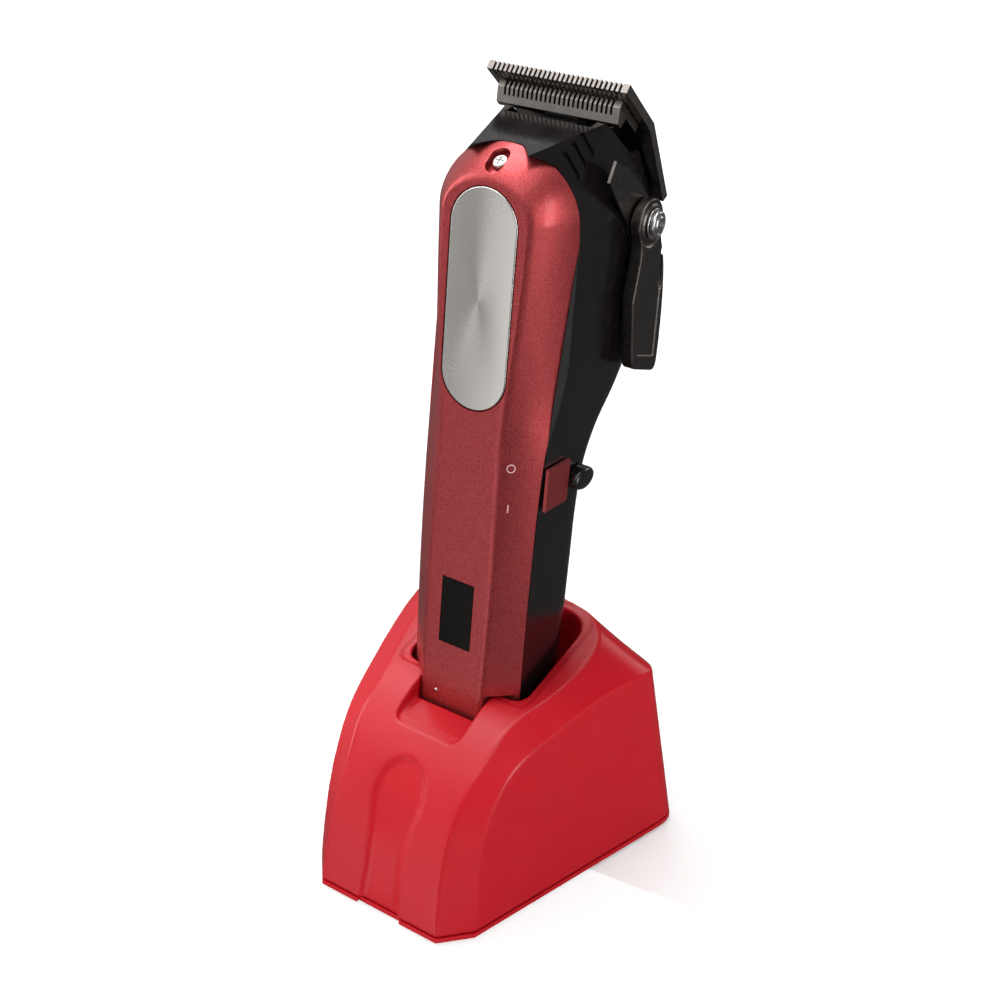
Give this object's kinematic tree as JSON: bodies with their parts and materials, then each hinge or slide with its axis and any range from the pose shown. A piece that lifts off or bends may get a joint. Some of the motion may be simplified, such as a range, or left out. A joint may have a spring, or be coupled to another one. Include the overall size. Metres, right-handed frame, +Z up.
{
  "type": "hair clipper",
  "caption": "Cordless hair clipper docked in its red charging stand, with a bevelled metallic cover, taper lever, toothed blades and a slide switch",
  "frame": {"origin": "middle of the whole object's box in plan, on the surface that the stand's feet rest on", "axes": "+Z up, +X to the right when the stand's front is faced, +Y from the front to the rear"},
  "size_m": [0.094, 0.0976, 0.2235],
  "materials": {
    "stand_red": "one red moulding: fine spark grain on the front and top strip, smooth satin elsewhere",
    "foot_rubber": "matt black rubber",
    "screw_steel": "bright turned and plated steel",
    "black_plastic": "plain black moulding",
    "contact_brass": "gold-plated contact",
    "board": "green circuit board",
    "housing_black": "glossy black moulding",
    "burgundy": "metallic burgundy lacquer, satin",
    "brushed_plate": "brushed in one direction, soft sheen",
    "window": "glossy black smoked window",
    "switch_black": "glossy black",
    "motor_steel": "drawn steel",
    "cell_wrap": "shrink sleeve",
    "dark_metal": "black nickel plate",
    "blade_steel": "ground blade steel"
  },
  "bodies": {
    "stand": {"stand_shell": "stand_red", "base_plate": "stand_red", "foot_1": "foot_rubber", "foot_2": "foot_rubber", "foot_3": "foot_rubber", "foot_4": "foot_rubber", "base_screw_1": "screw_steel", "base_screw_2": "screw_steel", "base_screw_3": "screw_steel", "base_screw_4": "screw_steel", "contact_block": "black_plastic", "contact_spring_1": "screw_steel", "contact_spring_2": "screw_steel", "stand_board": "board", "dc_jack": "black_plastic"},
    "pin_1": {"contact_pin_1": "contact_brass"},
    "pin_2": {"contact_pin_2": "contact_brass"},
    "clipper": {"rear_housing": "housing_black", "front_cover": "burgundy", "trim_plate": "brushed_plate", "cover_screw": "screw_steel", "display_window": "window", "display_module": "black_plastic", "tension_spring": "screw_steel", "motor_can": "motor_steel", "motor_mount": "black_plastic", "motor_screw_1": "screw_steel", "motor_screw_2": "screw_steel", "battery_cell": "cell_wrap", "control_board": "board", "slide_switch": "motor_steel", "charge_contact_1": "contact_brass", "charge_contact_2": "contact_brass", "end_cap": "black_plastic", "housing_screw_1": "screw_steel", "housing_screw_2": "screw_steel", "lever_bracket": "dark_metal", "lever_washer": "screw_steel", "lever_screw": "screw_steel"},
    "switch": {"switch_slider": "burgundy", "switch_knob": "switch_black"},
    "lever": {"taper_lever": "dark_metal"},
    "carriage": {"fixed_blade": "blade_steel", "blade_carrier": "dark_metal", "blade_screw_1": "screw_steel", "blade_screw_2": "screw_steel"},
    "cutter": {"moving_blade": "blade_steel", "drive_yoke": "black_plastic"},
    "rotor": {"motor_shaft": "motor_steel"}
  },
  "joints": [
    {"name": "clipper_lift", "type": "slide", "parent": "stand", "child": "clipper", "axis": [0, 0.0563, 0.9984], "range_m": [0, 0.08]},
    {"name": "switch_slide", "type": "slide", "parent": "clipper", "child": "switch", "axis": [0, -0.0563, -0.9984], "range_m": [0, 0.005]},
    {"name": "taper_lever_swing", "type": "hinge", "parent": "clipper", "child": "lever", "pos_m": [0.0233, 0.0326, 0.18745], "axis": [-1, 0, 0], "range_deg": [0, 35]},
    {"name": "blade_gap_slide", "type": "slide", "parent": "clipper", "child": "carriage", "axis": [0, 0.7712, -0.6366], "range_m": [0, 0.002]},
    {"name": "motor_spin", "type": "hinge", "parent": "clipper", "child": "rotor", "pos_m": [0, 0.02148, 0.17145], "axis": [0, 0.0563, 0.9984], "range_deg": [-80, 80]},
    {"name": "cutter_slide", "type": "slide", "parent": "clipper", "child": "cutter", "axis": [1, 0, 0], "range_m": [-0.00122, 0.00122]},
    {"name": "contact_pin_1_press", "type": "slide", "parent": "stand", "child": "pin_1", "axis": [0, 0, -1], "range_m": [0, 0.0012], "stiffness_N_per_m": 150, "deforming": ["contact_spring_1"]},
    {"name": "contact_pin_2_press", "type": "slide", "parent": "stand", "child": "pin_2", "axis": [0, 0, -1], "range_m": [0, 0.0012], "stiffness_N_per_m": 150, "deforming": ["contact_spring_2"]}
  ],
  "couplings": [
    {"joint": "blade_gap_slide", "follows": "taper_lever_swing", "m_per_rad": 0.003274},
    {"joint": "motor_spin", "follows": "cutter_slide", "rad_per_m": -711.99}
  ]
}
